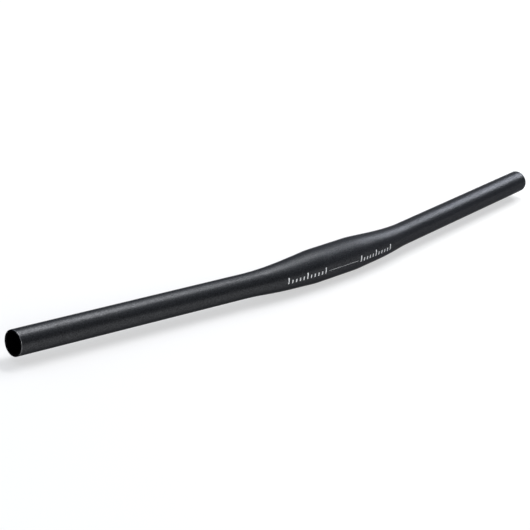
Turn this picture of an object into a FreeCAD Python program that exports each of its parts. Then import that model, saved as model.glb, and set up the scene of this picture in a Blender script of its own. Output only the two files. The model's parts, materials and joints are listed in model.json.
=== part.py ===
import FreeCAD, Part
import os

import Sketcher

# A flat bicycle handlebar: one butted aluminium tube, thick at the clamp seat in the middle,
# tapered down to the grips, bent back a little on each side and open at both ends.
# X runs along the clamp seat, +Y points back to the rider, +Z is up, and the origin is the seat's centre.
# Lengths are in millimetres and angles in degrees.

SIZES = {
    "bar_width": 740.0,      # between the centres of the two open ends
    "back_sweep": 6.0,       # how far each grip turns back from the line of the clamp seat
    "clamp_diameter": 31.8,  # the stem's seat
    "clamp_length": 52.0,    # straight length of that seat
    "clamp_blend": 4.0,      # from the end of the seat to the corner where the taper starts
    "taper_length": 80.0,    # between the taper's two corners, along the tube's axis
    "bend_length": 38.0,     # along the axis, in the thin half of the taper
    "grip_blend": 10.0,      # from the end of the bend to the corner where the taper ends
    "grip_diameter": 22.2,   # the seat of grips and levers
    "clamp_wall": 2.4,
    "grip_wall": 2.0,
    "rim_rounding": 0.5,     # outer edge of each open end
    "bore_chamfer": 0.4,     # inner edge of each open end
}

# Places along the tube's axis, counted from the middle of the bar
SEAT_END = "(Sizes.clamp_length / 2)"
TAPER_START = f"({SEAT_END} + Sizes.clamp_blend)"
TAPER_END = f"({TAPER_START} + Sizes.taper_length)"
BEND_END = f"({TAPER_END} - Sizes.grip_blend)"
BEND_START = f"({BEND_END} - Sizes.bend_length)"

# The bend's arc, the place of its far end, and the straight length from there to the open end
BEND_RADIUS = "(Sizes.bend_length / Sizes.back_sweep * 180 / pi)"
BEND_END_X = f"({BEND_START} + {BEND_RADIUS} * sin(Sizes.back_sweep))"
BEND_END_Y = f"({BEND_RADIUS} * (1 - cos(Sizes.back_sweep)))"
GRIP_REACH = f"((Sizes.bar_width / 2 - {BEND_END_X}) / cos(Sizes.back_sweep))"

# The wall's outer and inner surface, each by its radius at the clamp and at the grips
CLAMP_RADIUS = "(Sizes.clamp_diameter / 2)"
GRIP_RADIUS = "(Sizes.grip_diameter / 2)"
OUTER = (CLAMP_RADIUS, GRIP_RADIUS)
INNER = (f"({CLAMP_RADIUS} - Sizes.clamp_wall)", f"({GRIP_RADIUS} - Sizes.grip_wall)")

# A sketch's own origin and axes, and the numbers of a curve's points
ORIGIN = (-1, 1)
ALONG = -1
ACROSS = -2
START = 1
END = 2
CENTRE = 3


def taper_radius(surface, place):
    """Radius of the tapering surface at a place along the axis, as an expression."""
    thick, thin = surface
    return f"({thick} - ({thick} - {thin}) * ({place} - {TAPER_START}) / Sizes.taper_length)"


def make_sheet(doc):
    sheet = doc.addObject("Spreadsheet::Sheet", "Sizes")
    for row, (alias, value) in enumerate(SIZES.items(), start=1):
        sheet.set(f"A{row}", alias)
        sheet.set(f"B{row}", str(value))
        sheet.setAlias(f"B{row}", alias)
    doc.recompute()


def origin_plane(body, role):
    return next(feature for feature in body.Origin.OriginFeatures if feature.Role == role)


def new_sketch(body, name, support, mode):
    sketch = body.newObject("Sketcher::SketchObject", name)
    sketch.AttachmentSupport = support
    sketch.MapMode = mode
    return sketch


def number(sketch, expression):
    """What an expression comes to at present, for the first drawing of a curve."""
    return float(sketch.evalExpression(expression))


def point(sketch, x, y):
    return FreeCAD.Vector(number(sketch, x), number(sketch, y), 0)


def add_line(sketch, start, end, construction=False):
    return sketch.addGeometry(Part.LineSegment(start, end), construction)


def add_arc(sketch, start, middle, end):
    return sketch.addGeometry(Part.Arc(start, middle, end), False)


def tie(sketch, kind, *where):
    """Add a geometric constraint."""
    sketch.addConstraint(Sketcher.Constraint(kind, *where))


def size(sketch, kind, where, expression):
    """Add a dimension that an expression drives."""
    constraint = sketch.addConstraint(Sketcher.Constraint(kind, *where, number(sketch, expression)))
    sketch.setExpression(f"Constraints[{constraint}]", expression)


def place_x(sketch, curve, end, expression):
    size(sketch, "DistanceX", (*ORIGIN, curve, end), expression)


def place_y(sketch, curve, end, expression):
    size(sketch, "DistanceY", (*ORIGIN, curve, end), expression)


def draw_bend_path(sketch):
    """The tube's axis through the bend: an arc that leaves the clamp's line and turns back."""
    start = point(sketch, BEND_START, "0")
    middle = point(
        sketch,
        f"{BEND_START} + {BEND_RADIUS} * sin(Sizes.back_sweep / 2)",
        f"{BEND_RADIUS} * (1 - cos(Sizes.back_sweep / 2))",
    )
    end = point(sketch, BEND_END_X, BEND_END_Y)
    bend = add_arc(sketch, start, middle, end)
    tie(sketch, "PointOnObject", bend, START, ALONG)
    tie(sketch, "Vertical", bend, START, bend, CENTRE)
    place_x(sketch, bend, START, BEND_START)
    size(sketch, "Radius", (bend,), BEND_RADIUS)
    place_x(sketch, bend, END, BEND_END_X)


def draw_ring(sketch, place):
    """The wall's section across the axis at one end of the bend."""
    for surface in (OUTER, INNER):
        radius = taper_radius(surface, place)
        circle = Part.Circle(FreeCAD.Vector(), FreeCAD.Vector(0, 0, 1), number(sketch, radius))
        ring = sketch.addGeometry(circle, False)
        tie(sketch, "Coincident", ring, CENTRE, *ORIGIN)
        size(sketch, "Radius", (ring,), radius)


def draw_clamp_surface(sketch, surface):
    """Half the seat, the blend and the taper as far as the bend, for one surface of the wall."""
    thick = surface[0]
    blend_end = f"({TAPER_START} + Sizes.clamp_blend)"
    blend_middle = taper_radius(surface, f"({TAPER_START} + Sizes.clamp_blend / 4)")
    seat_tip = point(sketch, SEAT_END, thick)
    blend_crown = point(sketch, TAPER_START, blend_middle)
    taper_root = point(sketch, blend_end, taper_radius(surface, blend_end))
    taper_tip = point(sketch, BEND_START, taper_radius(surface, BEND_START))
    seat = add_line(sketch, point(sketch, "0", thick), seat_tip)
    blend = add_arc(sketch, seat_tip, blend_crown, taper_root)
    taper = add_line(sketch, taper_root, taper_tip)
    corner = sketch.addGeometry(Part.Point(point(sketch, TAPER_START, thick)), True)
    tie(sketch, "Horizontal", seat)
    tie(sketch, "PointOnObject", seat, START, ACROSS)
    place_x(sketch, seat, END, SEAT_END)
    place_y(sketch, seat, END, thick)
    tie(sketch, "Tangent", seat, END, blend, END)
    tie(sketch, "Tangent", blend, START, taper, START)
    tie(sketch, "PointOnObject", corner, START, seat)
    tie(sketch, "PointOnObject", corner, START, taper)
    place_x(sketch, corner, START, TAPER_START)
    place_x(sketch, taper, END, BEND_START)
    place_y(sketch, taper, END, taper_radius(surface, BEND_START))
    return seat, taper


def draw_clamp_section(sketch):
    """The wall from the middle of the bar to the bend, cut along the axis."""
    outer_seat, outer_taper = draw_clamp_surface(sketch, OUTER)
    inner_seat, inner_taper = draw_clamp_surface(sketch, INNER)
    ends = ((outer_seat, START, inner_seat, START), (outer_taper, END, inner_taper, END))
    for outer, outer_end, inner, inner_end in ends:
        cut = add_line(sketch, sketch.getPoint(outer, outer_end), sketch.getPoint(inner, inner_end))
        tie(sketch, "Coincident", cut, START, outer, outer_end)
        tie(sketch, "Coincident", cut, END, inner, inner_end)


def draw_grip_surface(sketch, surface, seat_end):
    """The end of the taper, its blend and the straight grip, for one surface of the wall."""
    thin = surface[1]
    root_radius = taper_radius(surface, BEND_END)
    blend_middle = f"({thin} + ({root_radius} - {thin}) / 4)"
    root = point(sketch, "0", root_radius)
    middle = point(sketch, "Sizes.grip_blend", blend_middle)
    seat_start = point(sketch, "2 * Sizes.grip_blend", thin)
    blend = add_arc(sketch, root, middle, seat_start)
    taper = add_line(sketch, root, point(sketch, "Sizes.grip_blend", thin), construction=True)
    seat = add_line(sketch, seat_start, point(sketch, seat_end, thin))
    tie(sketch, "PointOnObject", blend, START, ACROSS)
    place_y(sketch, blend, START, root_radius)
    tie(sketch, "Tangent", taper, START, blend, START)
    place_x(sketch, taper, END, "Sizes.grip_blend")
    place_y(sketch, taper, END, thin)
    tie(sketch, "Tangent", blend, END, seat, START)
    tie(sketch, "Horizontal", seat)
    tie(sketch, "PointOnObject", taper, END, seat)
    place_x(sketch, seat, END, seat_end)
    return blend, seat


def draw_grip_section(sketch):
    """The wall from the bend to the open end, cut along the grip's axis."""
    bore = INNER[1]
    rim_start = f"({GRIP_REACH} - Sizes.rim_rounding)"
    rim_end = f"({GRIP_RADIUS} - Sizes.rim_rounding)"
    rim_middle = "Sizes.rim_rounding * (1 - cos(45))"
    chamfer_start = f"({bore} + Sizes.bore_chamfer)"
    chamfer_end = f"({GRIP_REACH} - Sizes.bore_chamfer)"
    outer_blend, outer_seat = draw_grip_surface(sketch, OUTER, rim_start)
    inner_blend, inner_seat = draw_grip_surface(sketch, INNER, chamfer_end)
    rim = add_arc(
        sketch,
        point(sketch, rim_start, GRIP_RADIUS),
        point(sketch, f"{GRIP_REACH} - {rim_middle}", f"{GRIP_RADIUS} - {rim_middle}"),
        point(sketch, GRIP_REACH, rim_end),
    )
    face = add_line(sketch, point(sketch, GRIP_REACH, rim_end), point(sketch, GRIP_REACH, chamfer_start))
    chamfer = add_line(
        sketch, point(sketch, GRIP_REACH, chamfer_start), point(sketch, chamfer_end, bore)
    )
    root = add_line(sketch, sketch.getPoint(inner_blend, START), sketch.getPoint(outer_blend, START))
    tie(sketch, "Tangent", outer_seat, END, rim, END)
    tie(sketch, "Tangent", rim, START, face, START)
    tie(sketch, "Vertical", face)
    place_x(sketch, face, END, GRIP_REACH)
    place_y(sketch, face, END, chamfer_start)
    tie(sketch, "Coincident", face, END, chamfer, START)
    tie(sketch, "Coincident", chamfer, END, inner_seat, END)
    tie(sketch, "Coincident", root, START, inner_blend, START)
    tie(sketch, "Coincident", root, END, outer_blend, START)


def revolve(body, sketch, name):
    """Turn a wall section full circle about its sketch's own axis."""
    feature = body.newObject("PartDesign::Revolution", name)
    feature.Profile = (sketch, [""])
    feature.ReferenceAxis = (sketch, ["H_Axis"])
    feature.Angle = 360


def make_clamp_half(body, level):
    section = new_sketch(body, "clamp_section", level, "FlatFace")
    draw_clamp_section(section)
    revolve(body, section, "clamp_half")


def make_bend(body, level):
    """The wall's ring carried along the bend while it shrinks to the taper's thin end."""
    path = new_sketch(body, "bend_path", level, "FlatFace")
    draw_bend_path(path)
    body.Document.recompute()
    rings = []
    for name, place, share in (("thick_ring", BEND_START, 0), ("thin_ring", BEND_END, 1)):
        ring = new_sketch(body, name, (path, ["Edge1"]), "NormalToEdge")
        ring.MapPathParameter = share
        draw_ring(ring, place)
        rings.append((ring, [""]))
    bend = body.newObject("PartDesign::AdditivePipe", "bend")
    bend.Profile = rings[0]
    bend.Spine = (path, ["Edge1"])
    bend.Sections = rings[1:]
    bend.Transformation = "Multisection"


def make_grip(body, level):
    section = new_sketch(body, "grip_section", level, "FlatFace")
    section.setExpression("AttachmentOffset.Base.x", BEND_END_X)
    section.setExpression("AttachmentOffset.Base.y", BEND_END_Y)
    section.setExpression("AttachmentOffset.Rotation.Angle", "Sizes.back_sweep")
    draw_grip_section(section)
    revolve(body, section, "grip")


def mirror_half(body):
    both_sides = body.newObject("PartDesign::Mirrored", "both_sides")
    both_sides.TransformMode = "Whole shape"
    both_sides.MirrorPlane = (origin_plane(body, "YZ_Plane"), [""])
    body.Tip = both_sides


def make_handlebar(doc):
    body = doc.addObject("PartDesign::Body", "handlebar")
    body.Label = "handlebar"
    level = (origin_plane(body, "XY_Plane"), [""])
    make_clamp_half(body, level)
    make_bend(body, level)
    make_grip(body, level)
    doc.recompute()
    mirror_half(body)
    doc.recompute()
    return body


def check(doc, body):
    """Stop before anything is written if an object failed or the bar isn't one sound solid."""
    for item in doc.Objects:
        if "Invalid" in item.State or "Error" in item.State:
            raise RuntimeError(f"{item.Name} failed: {item.State}")
    shape = body.Shape
    if shape.isNull() or not shape.isValid() or len(shape.Solids) != 1:
        raise RuntimeError(f"{body.Label} is not one valid solid")


document = FreeCAD.newDocument("flat_handlebar")
make_sheet(document)
handlebar = make_handlebar(document)
check(document, handlebar)
os.makedirs("parts", exist_ok=True)
handlebar.Shape.exportStep(f"parts/{handlebar.Label}.step")
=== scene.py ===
import json
import math

import bmesh
import bpy
from mathutils import Matrix, Vector


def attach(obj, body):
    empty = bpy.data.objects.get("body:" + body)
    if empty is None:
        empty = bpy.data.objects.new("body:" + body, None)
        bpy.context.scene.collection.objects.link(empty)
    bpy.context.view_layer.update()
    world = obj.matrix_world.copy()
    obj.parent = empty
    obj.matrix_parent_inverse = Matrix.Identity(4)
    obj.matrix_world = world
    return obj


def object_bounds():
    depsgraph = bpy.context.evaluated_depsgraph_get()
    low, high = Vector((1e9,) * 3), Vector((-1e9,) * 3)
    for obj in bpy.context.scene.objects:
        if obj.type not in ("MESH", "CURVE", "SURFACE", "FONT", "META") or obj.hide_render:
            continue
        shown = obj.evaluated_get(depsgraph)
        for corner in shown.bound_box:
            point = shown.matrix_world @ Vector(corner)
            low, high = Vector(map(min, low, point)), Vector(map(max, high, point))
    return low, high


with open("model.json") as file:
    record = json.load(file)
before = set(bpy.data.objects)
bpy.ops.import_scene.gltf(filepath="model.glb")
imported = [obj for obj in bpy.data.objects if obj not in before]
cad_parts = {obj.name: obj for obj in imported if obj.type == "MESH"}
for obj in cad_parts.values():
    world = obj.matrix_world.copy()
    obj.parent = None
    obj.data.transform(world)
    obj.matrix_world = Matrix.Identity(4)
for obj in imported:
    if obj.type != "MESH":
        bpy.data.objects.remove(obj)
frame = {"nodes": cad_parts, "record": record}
cad_low, cad_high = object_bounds()

# A flat handlebar: its tube comes from the frame and gets its finish here, with the printed centring marks.
# Lengths are in metres and angles in degrees. X runs along the clamp seat, +Y points back to the rider,
# +Z is up, and the origin is the middle of the clamp seat.

MM = 0.001
IMAGE_PIXELS = 530
SENSOR_MM = 36.0

# The camera, as fitted to the bar's outline
CAMERA_TURN = -53.27                # about the vertical, from straight in front
CAMERA_LIFT = 21.40                 # above the horizon
CAMERA_ROLL = 8.13                  # how far its right side is tipped up
CAMERA_DISTANCE = 1.638
CAMERA_FOCUS_PIXELS = 1854.0
AIM_ALONG_BAR = -0.0953             # the place on the seat's axis that it is aimed by
AIM_UP_IMAGE = 0.01497              # from that place up the image, to the middle of the image

# The softboxes, each facing a place on the seat's axis
SOFTBOXES = {
    "near_softbox": dict(
        along_bar=-0.20, turn=105.0, lift=57.0, distance=2.6, width=1.40, height=0.60, brightness=15.0
    ),
    "far_softbox": dict(
        along_bar=0.25, turn=97.4, lift=26.0, distance=2.0, width=0.78, height=0.38, brightness=37.0
    ),
    "top_softbox": dict(
        along_bar=0.0, turn=0.0, lift=78.0, distance=2.6, width=2.00, height=0.40, brightness=2.2
    ),
    "front_softbox": dict(
        along_bar=0.0, turn=-46.0, lift=18.0, distance=2.6, width=1.40, height=0.60, brightness=14.0
    ),
}

# The studio round the bar: a low white wall, a dim room above it and a white floor
WALL_COLOUR = (1.0, 1.0, 1.0)
WALL_SIDE = (-0.707, 0.707, 0.0)    # the middle of the wall, behind the bar and to its left
WALL_SIDE_FADE = (-0.7, -0.3)       # where the wall begins and where it is full, along WALL_SIDE
WALL_TOP = 5.2                      # above the horizon, where the wall starts to fade
ROOM_START = 9.0                    # above the horizon, where nothing of the wall is left
ROOM_COLOUR = (0.43, 0.47, 0.54)
ROOM_BRIGHT_SIDE = (0.6, 0.8, 0.0)  # behind the bar's far end
ROOM_REACH = 0.75                   # 0 leaves half the room dark, 1 leaves only one direction dark
FLOOR_SIZE = 14.0
FLOOR_COLOUR = (0.40, 0.40, 0.40)
FLOOR_LIFT = 0.51                   # what makes the lit floor white to the camera and in reflections
FLOOR_FAR_LIFT = 1.0                # the same at the foot of the wall
FLOOR_FADE = (0.3, 1.8)             # where the lift grows, towards the wall

# The bead-blasted, satin black finish
BLACK = (0.0466, 0.0475, 0.0500)
# painted shade: the bore and end faces are near black, far darker than the anodising outside
PAINTED_BORE_SHADE = (0.004, 0.004, 0.0045)
EDGE_TINT = (0.39, 0.393, 0.402)    # of reflections at glancing angles
WORN_EDGE = (0.16, 0.162, 0.167)
SATIN = 0.40                        # the roughness of the metal
GRAIN_SIZE = 0.45 * MM
GRAIN_DEPTH = 0.02 * MM
METAL_DENTS = 0.4                   # how strongly the grain shows in the metal
SPECKLE_SIZE = 1.0 * MM
SPECKLE_RANGE = (0.58, 1.42)        # the darkest and brightest speckle, as a share of the black
NOISE_RANGE = (0.3, 0.7)            # where nearly all of a noise texture's values lie
CLOUD_SIZE = 30 * MM
CLOUD_GLOSS = 0.02                  # how far the roughness wanders either way
WEAR_SIZE = 2.5 * MM
WEAR_RANGE = (0.4, 1.0)             # how much of the worn colour a rim's patches show
WEAR_REACH = 0.5 * MM               # from the rounded edge on to the grip
RIM_WIDTH = 0.20 * MM               # the outermost part of the rounded edge, which keeps the outside finish; inside it the end face gets painted shade

# The printed marks on the front of the clamp seat and tapers
INK_WHITE = (0.84, 0.85, 0.86)
INK_TONE_RANGE = (0.9, 1.05)
INK_ROUGHNESS = 0.55
INK_DENTS = 0.2                     # how strongly the metal's grain shows through
INK_HEIGHT = 0.05 * MM              # of its face over the metal
INK_BODY = 0.07 * MM                # its thickness, which reaches a little into the metal
LINE_LENGTH = 44 * MM
LINE_WIDTH = 0.2 * MM
SCALE_START = 27 * MM
SCALE_PITCH = 5 * MM
SCALE_TICKS = 11
TICK_WIDTH = 1.3 * MM
SHORT_TICK = 3.2 * MM
LONG_TICK = 5.8 * MM
LONG_TICK_EVERY = 5
SCALE_FOOT = -1.8 * MM              # the foot of every tick, from the seat's axis
PRINT_PLANE = -30 * MM              # a flat plane in front of the bar, where the marks are drawn
PRINT_STEP = 0.5 * MM               # length of a mark's faces, so that it can bend round the tube


def new_node(tree, kind, **settings):
    node = tree.nodes.new(kind)
    for name, value in settings.items():
        setattr(node, name, value)
    return node


def wire(tree, source, target):
    tree.links.new(source, target)


def opaque(colour):
    return (*colour, 1.0)


def new_material(name):
    material = bpy.data.materials.new(name)
    material.use_nodes = True
    material.node_tree.nodes.clear()
    return material, material.node_tree


def map_range(tree, kind, start, end, at_start, at_end):
    node = new_node(tree, "ShaderNodeMapRange", interpolation_type=kind)
    node.inputs["From Min"].default_value = start
    node.inputs["From Max"].default_value = end
    node.inputs["To Min"].default_value = at_start
    node.inputs["To Max"].default_value = at_end
    return node


def smooth_range(tree, start, end, at_start, at_end):
    return map_range(tree, "SMOOTHSTEP", start, end, at_start, at_end)


def noise_range(tree, lowest, highest):
    return map_range(tree, "LINEAR", *NOISE_RANGE, lowest, highest)


def looking_back(turn, lift):
    """The direction from the bar to something that looks at it, and that thing's level and upright sides."""
    turn = math.radians(turn)
    lift = math.radians(lift)
    back = Vector((math.sin(turn) * math.cos(lift), -math.cos(turn) * math.cos(lift), math.sin(lift)))
    level = Vector((math.cos(turn), math.sin(turn), 0))
    return back, level, back.cross(level)


def facing(eye, right, up, back):
    return Matrix.Translation(eye) @ Matrix((right, up, back)).transposed().to_4x4()


def place_camera():
    back, level, upright = looking_back(CAMERA_TURN, CAMERA_LIFT)
    roll = math.radians(CAMERA_ROLL)
    right = level * math.cos(roll) + upright * math.sin(roll)
    up = upright * math.cos(roll) - level * math.sin(roll)
    eye = Vector((AIM_ALONG_BAR, 0, 0)) + up * AIM_UP_IMAGE + back * CAMERA_DISTANCE
    lens = bpy.data.cameras.new("camera")
    lens.sensor_width = SENSOR_MM
    lens.lens = CAMERA_FOCUS_PIXELS / IMAGE_PIXELS * SENSOR_MM
    camera = bpy.data.objects.new("camera", lens)
    camera.matrix_world = facing(eye, right, up, back)
    bpy.context.scene.collection.objects.link(camera)
    bpy.context.scene.camera = camera


def hang_softbox(name, along_bar, turn, lift, distance, width, height, brightness):
    """A soft area lamp that faces the seat's axis, at along_bar from its middle.

    Turn and lift are its direction from there, as for the camera. Its power gives its surface the brightness
    that is asked for, where 1 is white.
    """
    back, level, upright = looking_back(turn, lift)
    lamp = bpy.data.lights.new(name, "AREA")
    lamp.shape = "RECTANGLE"
    lamp.size = width
    lamp.size_y = height
    lamp.energy = brightness * math.pi * width * height
    box = bpy.data.objects.new(name, lamp)
    box.matrix_world = facing(Vector((along_bar, 0, 0)) + back * distance, level, upright, back)
    box.visible_camera = False
    bpy.context.scene.collection.objects.link(box)


def wall_mask(tree, direction):
    """Where the white wall is, by the direction looked in: 1 on the wall and 0 off it."""
    wall_top = math.sin(math.radians(WALL_TOP))
    room_start = math.sin(math.radians(ROOM_START))
    rise = new_node(tree, "ShaderNodeSeparateXYZ")
    low_enough = smooth_range(tree, wall_top, room_start, 1.0, 0.0)
    side = new_node(tree, "ShaderNodeVectorMath", operation="DOT_PRODUCT")
    side.inputs[1].default_value = WALL_SIDE
    within_sides = smooth_range(tree, *WALL_SIDE_FADE, 0.0, 1.0)
    mask = new_node(tree, "ShaderNodeMath", operation="MULTIPLY")
    wire(tree, direction, rise.inputs["Vector"])
    wire(tree, rise.outputs["Z"], low_enough.inputs["Value"])
    wire(tree, direction, side.inputs[0])
    wire(tree, side.outputs["Value"], within_sides.inputs["Value"])
    wire(tree, low_enough.outputs["Result"], mask.inputs[0])
    wire(tree, within_sides.outputs["Result"], mask.inputs[1])
    return mask.outputs["Value"]


def room_glow(tree, direction):
    """The dim room's colour, by the direction looked in."""
    side = new_node(tree, "ShaderNodeVectorMath", operation="DOT_PRODUCT")
    side.inputs[1].default_value = ROOM_BRIGHT_SIDE
    reach = new_node(tree, "ShaderNodeMath", operation="ADD")
    reach.inputs[1].default_value = ROOM_REACH
    no_less = new_node(tree, "ShaderNodeMath", operation="MAXIMUM")
    no_less.inputs[1].default_value = 0.0
    glow = new_node(tree, "ShaderNodeVectorMath", operation="SCALE")
    glow.inputs[0].default_value = ROOM_COLOUR
    wire(tree, direction, side.inputs[0])
    wire(tree, side.outputs["Value"], reach.inputs[0])
    wire(tree, reach.outputs["Value"], no_less.inputs[0])
    wire(tree, no_less.outputs["Value"], glow.inputs["Scale"])
    return glow.outputs["Vector"]


def light_room():
    world = bpy.data.worlds.new("studio")
    bpy.context.scene.world = world
    world.use_nodes = True
    tree = world.node_tree
    tree.nodes.clear()
    direction = new_node(tree, "ShaderNodeTexCoord").outputs["Generated"]
    shade = new_node(tree, "ShaderNodeMix", data_type="RGBA")
    shade.inputs["B"].default_value = opaque(WALL_COLOUR)
    background = new_node(tree, "ShaderNodeBackground")
    output = new_node(tree, "ShaderNodeOutputWorld")
    wire(tree, room_glow(tree, direction), shade.inputs["A"])
    wire(tree, wall_mask(tree, direction), shade.inputs["Factor"])
    wire(tree, shade.outputs["Result"], background.inputs["Color"])
    wire(tree, background.outputs["Background"], output.inputs["Surface"])


def floor_lift(tree):
    """The floor's own glow, for the camera and reflections alone, which grows towards the wall."""
    path = new_node(tree, "ShaderNodeLightPath")
    mirrored = new_node(tree, "ShaderNodeMath", operation="MAXIMUM")
    seen = new_node(tree, "ShaderNodeMath", operation="MAXIMUM")
    place = new_node(tree, "ShaderNodeTexCoord")
    towards_wall = new_node(tree, "ShaderNodeVectorMath", operation="DOT_PRODUCT")
    towards_wall.inputs[1].default_value = WALL_SIDE
    lift_here = smooth_range(tree, *FLOOR_FADE, FLOOR_LIFT, FLOOR_FAR_LIFT)
    lift = new_node(tree, "ShaderNodeMath", operation="MULTIPLY")
    wire(tree, path.outputs["Is Glossy Ray"], mirrored.inputs[0])
    wire(tree, path.outputs["Is Transmission Ray"], mirrored.inputs[1])
    wire(tree, path.outputs["Is Camera Ray"], seen.inputs[0])
    wire(tree, mirrored.outputs["Value"], seen.inputs[1])
    wire(tree, place.outputs["Object"], towards_wall.inputs[0])
    wire(tree, towards_wall.outputs["Value"], lift_here.inputs["Value"])
    wire(tree, seen.outputs["Value"], lift.inputs[0])
    wire(tree, lift_here.outputs["Result"], lift.inputs[1])
    return lift.outputs["Value"]


def floor_finish():
    """Matt grey, lifted to white for the camera and in reflections, that still takes the bar's shadow."""
    material, tree = new_material("white_floor")
    paint = new_node(tree, "ShaderNodeBsdfDiffuse")
    paint.inputs["Color"].default_value = opaque(FLOOR_COLOUR)
    glow = new_node(tree, "ShaderNodeEmission")
    both = new_node(tree, "ShaderNodeAddShader")
    output = new_node(tree, "ShaderNodeOutputMaterial")
    wire(tree, floor_lift(tree), glow.inputs["Strength"])
    wire(tree, paint.outputs["BSDF"], both.inputs[0])
    wire(tree, glow.outputs["Emission"], both.inputs[1])
    wire(tree, both.outputs["Shader"], output.inputs["Surface"])
    return material


def lay_floor():
    shape = bmesh.new()
    bmesh.ops.create_grid(
        shape, x_segments=1, y_segments=1, size=FLOOR_SIZE / 2, matrix=Matrix.Translation((0, 0, cad_low.z))
    )
    mesh = bpy.data.meshes.new("floor")
    shape.to_mesh(mesh)
    shape.free()
    mesh.materials.append(floor_finish())
    floor = bpy.data.objects.new("floor", mesh)
    bpy.context.scene.collection.objects.link(floor)


def bead_blast_group():
    """Fine dimples and a faint change of tone, for whatever lies on the blasted metal."""
    tree = bpy.data.node_groups.new("bead_blast", "ShaderNodeTree")
    face = tree.interface
    face.new_socket("Place", in_out="INPUT", socket_type="NodeSocketVector")
    face.new_socket("Grain Size", in_out="INPUT", socket_type="NodeSocketFloat")
    face.new_socket("Speckle Size", in_out="INPUT", socket_type="NodeSocketFloat")
    face.new_socket("Height", in_out="OUTPUT", socket_type="NodeSocketFloat")
    face.new_socket("Tone", in_out="OUTPUT", socket_type="NodeSocketFloat")
    given = new_node(tree, "NodeGroupInput")
    made = new_node(tree, "NodeGroupOutput")
    grain_scale = new_node(tree, "ShaderNodeMath", operation="DIVIDE")
    grain_scale.inputs[0].default_value = 1.0
    speckle_scale = new_node(tree, "ShaderNodeMath", operation="DIVIDE")
    speckle_scale.inputs[0].default_value = 1.0
    dimples = new_node(tree, "ShaderNodeTexVoronoi", feature="SMOOTH_F1")
    speckle = new_node(tree, "ShaderNodeTexNoise")
    wire(tree, given.outputs["Grain Size"], grain_scale.inputs[1])
    wire(tree, given.outputs["Speckle Size"], speckle_scale.inputs[1])
    wire(tree, given.outputs["Place"], dimples.inputs["Vector"])
    wire(tree, grain_scale.outputs["Value"], dimples.inputs["Scale"])
    wire(tree, given.outputs["Place"], speckle.inputs["Vector"])
    wire(tree, speckle_scale.outputs["Value"], speckle.inputs["Scale"])
    wire(tree, dimples.outputs["Distance"], made.inputs["Height"])
    wire(tree, speckle.outputs["Fac"], made.inputs["Tone"])
    return tree


def blasted_surface(tree, bead_blast, place, colour, tone_range, dent_strength):
    """The speckled colour and the dimpled normal that a finish has on the blasted metal."""
    grain = new_node(tree, "ShaderNodeGroup", node_tree=bead_blast)
    grain.inputs["Grain Size"].default_value = GRAIN_SIZE
    grain.inputs["Speckle Size"].default_value = SPECKLE_SIZE
    tone = noise_range(tree, *tone_range)
    speckled = new_node(tree, "ShaderNodeVectorMath", operation="SCALE")
    speckled.inputs[0].default_value = colour
    dents = new_node(tree, "ShaderNodeBump")
    dents.inputs["Strength"].default_value = dent_strength
    dents.inputs["Distance"].default_value = GRAIN_DEPTH
    wire(tree, place, grain.inputs["Place"])
    wire(tree, grain.outputs["Tone"], tone.inputs["Value"])
    wire(tree, tone.outputs["Result"], speckled.inputs["Scale"])
    wire(tree, grain.outputs["Height"], dents.inputs["Height"])
    return speckled.outputs["Vector"], dents.outputs["Normal"]


def patchy(tree, place, size, lowest, highest):
    """A value that wanders between two limits, in patches of about the given size."""
    patches = new_node(tree, "ShaderNodeTexNoise")
    patches.inputs["Scale"].default_value = 1 / size
    limits = noise_range(tree, lowest, highest)
    wire(tree, place, patches.inputs["Vector"])
    wire(tree, patches.outputs["Fac"], limits.inputs["Value"])
    return limits.outputs["Result"]


def end_masks(tree, place):
    """Two masks by the place on a grip: its bore with the end face, where shade is painted, and the rounded
    rim that gets rubbed.
    """
    grip = next(mount for mount in frame["record"]["mounts"] if mount["name"] == "right_grip")
    along = Vector(grip["axis"])
    rim_radius = grip["dims"]["r_mm"] * MM - RIM_WIDTH
    rim_start = grip["dims"]["length_mm"] * MM / 2
    one_side = new_node(tree, "ShaderNodeVectorMath", operation="ABSOLUTE")
    grip_place = new_node(tree, "ShaderNodeMapping", vector_type="TEXTURE")
    grip_place.inputs["Location"].default_value = grip["pos_m"]
    grip_place.inputs["Rotation"].default_value = (0, 0, math.atan2(along.y, along.x))
    across = new_node(tree, "ShaderNodeVectorMath", operation="MULTIPLY")
    across.inputs[1].default_value = (0, 1, 1)
    radius = new_node(tree, "ShaderNodeVectorMath", operation="LENGTH")
    inside = new_node(tree, "ShaderNodeMath", operation="LESS_THAN")
    inside.inputs[1].default_value = rim_radius
    split = new_node(tree, "ShaderNodeSeparateXYZ")
    outer_half = new_node(tree, "ShaderNodeMath", operation="GREATER_THAN")
    outer_half.inputs[1].default_value = 0.0
    bore_shade = new_node(tree, "ShaderNodeMath", operation="MULTIPLY")
    rim = smooth_range(tree, rim_start - WEAR_REACH, rim_start, 0.0, 1.0)
    wire(tree, place, one_side.inputs[0])
    wire(tree, one_side.outputs["Vector"], grip_place.inputs["Vector"])
    wire(tree, grip_place.outputs["Vector"], across.inputs[0])
    wire(tree, across.outputs["Vector"], radius.inputs[0])
    wire(tree, radius.outputs["Value"], inside.inputs[0])
    wire(tree, grip_place.outputs["Vector"], split.inputs["Vector"])
    wire(tree, split.outputs["X"], outer_half.inputs[0])
    wire(tree, split.outputs["X"], rim.inputs["Value"])
    wire(tree, inside.outputs["Value"], bore_shade.inputs[0])
    wire(tree, outer_half.outputs["Value"], bore_shade.inputs[1])
    return bore_shade.outputs["Value"], rim.outputs["Result"]


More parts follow.
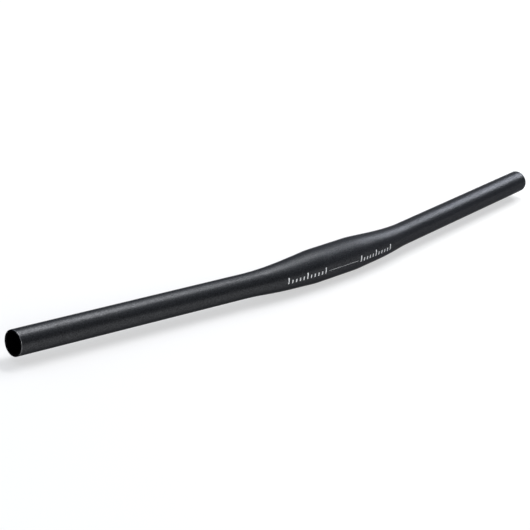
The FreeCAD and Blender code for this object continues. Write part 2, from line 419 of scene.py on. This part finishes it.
def anodised_finish(bead_blast):
    """Satin black anodising: blasted outside, rubbed at the rims, painted near black for shade in the bore
    and on the end faces, and a little cloudy.
    """
    material, tree = new_material("satin_black_anodising")
    place = new_node(tree, "ShaderNodeTexCoord").outputs["Object"]
    black, dents = blasted_surface(tree, bead_blast, place, BLACK, SPECKLE_RANGE, METAL_DENTS)
    gloss = patchy(tree, place, CLOUD_SIZE, SATIN - CLOUD_GLOSS, SATIN + CLOUD_GLOSS)
    rubbed = patchy(tree, place, WEAR_SIZE, *WEAR_RANGE)
    bore_shade, rim = end_masks(tree, place)
    wear = new_node(tree, "ShaderNodeMath", operation="MULTIPLY")
    worn = new_node(tree, "ShaderNodeMix", data_type="RGBA")
    worn.inputs["B"].default_value = opaque(WORN_EDGE)
    # painted shade: the bore and the end face are mixed to near black
    shaded_bore = new_node(tree, "ShaderNodeMix", data_type="RGBA")
    shaded_bore.inputs["B"].default_value = opaque(PAINTED_BORE_SHADE)
    metal = new_node(tree, "ShaderNodeBsdfPrincipled")
    metal.inputs["Metallic"].default_value = 1.0
    metal.inputs["Specular Tint"].default_value = opaque(EDGE_TINT)
    output = new_node(tree, "ShaderNodeOutputMaterial")
    wire(tree, rubbed, wear.inputs[0])
    wire(tree, rim, wear.inputs[1])
    wire(tree, black, worn.inputs["A"])
    wire(tree, wear.outputs["Value"], worn.inputs["Factor"])
    wire(tree, worn.outputs["Result"], shaded_bore.inputs["A"])
    wire(tree, bore_shade, shaded_bore.inputs["Factor"])
    wire(tree, shaded_bore.outputs["Result"], metal.inputs["Base Color"])
    wire(tree, gloss, metal.inputs["Roughness"])
    wire(tree, dents, metal.inputs["Normal"])
    wire(tree, metal.outputs["BSDF"], output.inputs["Surface"])
    return material


def ink_finish(bead_blast):
    """White screen ink that follows the blasted surface and is a little thin in places."""
    material, tree = new_material("white_ink")
    place = new_node(tree, "ShaderNodeTexCoord").outputs["Object"]
    white, dents = blasted_surface(tree, bead_blast, place, INK_WHITE, INK_TONE_RANGE, INK_DENTS)
    ink = new_node(tree, "ShaderNodeBsdfPrincipled")
    ink.inputs["Roughness"].default_value = INK_ROUGHNESS
    output = new_node(tree, "ShaderNodeOutputMaterial")
    wire(tree, white, ink.inputs["Base Color"])
    wire(tree, dents, ink.inputs["Normal"])
    wire(tree, ink.outputs["BSDF"], output.inputs["Surface"])
    return material


def draw_mark(shape, x, z, width, height):
    """A flat rectangle in front of the bar, centred on x and z and divided so that it can bend."""
    stand_up = Matrix.Rotation(math.radians(90), 4, "X")
    stretch = Matrix.Diagonal((width / 2, height / 2, 1, 1))
    bmesh.ops.create_grid(
        shape,
        x_segments=max(1, round(width / PRINT_STEP)),
        y_segments=max(1, round(height / PRINT_STEP)),
        size=1,
        matrix=Matrix.Translation((x, PRINT_PLANE, z)) @ stand_up @ stretch,
    )


def print_marks(bar, bead_blast):
    """A centring line on the clamp seat and a scale on each side of it, laid on the bar from the front."""
    shape = bmesh.new()
    draw_mark(shape, 0, 0, LINE_LENGTH, LINE_WIDTH)
    for side in (-1, 1):
        for tick in range(SCALE_TICKS):
            height = LONG_TICK if tick % LONG_TICK_EVERY == 0 else SHORT_TICK
            x = side * (SCALE_START + tick * SCALE_PITCH)
            draw_mark(shape, x, SCALE_FOOT + height / 2, TICK_WIDTH, height)
    mesh = bpy.data.meshes.new("centring_marks")
    shape.to_mesh(mesh)
    shape.free()
    mesh.materials.append(ink_finish(bead_blast))
    marks = bpy.data.objects.new("centring_marks", mesh)
    bpy.context.scene.collection.objects.link(marks)
    lay = marks.modifiers.new("lay_on_bar", "SHRINKWRAP")
    lay.target = bar
    lay.wrap_method = "PROJECT"
    lay.wrap_mode = "ABOVE_SURFACE"
    lay.use_project_y = True
    lay.offset = INK_HEIGHT
    body = marks.modifiers.new("ink_body", "SOLIDIFY")
    body.thickness = INK_BODY
    body.offset = -1
    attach(marks, "root")


bpy.context.scene.view_settings.view_transform = "Standard"
place_camera()
for name, settings in SOFTBOXES.items():
    hang_softbox(name, **settings)
light_room()
lay_floor()
bar = frame["nodes"]["handlebar"]
bead_blast = bead_blast_group()
bar.material_slots[0].material = anodised_finish(bead_blast)
print_marks(bar, bead_blast)
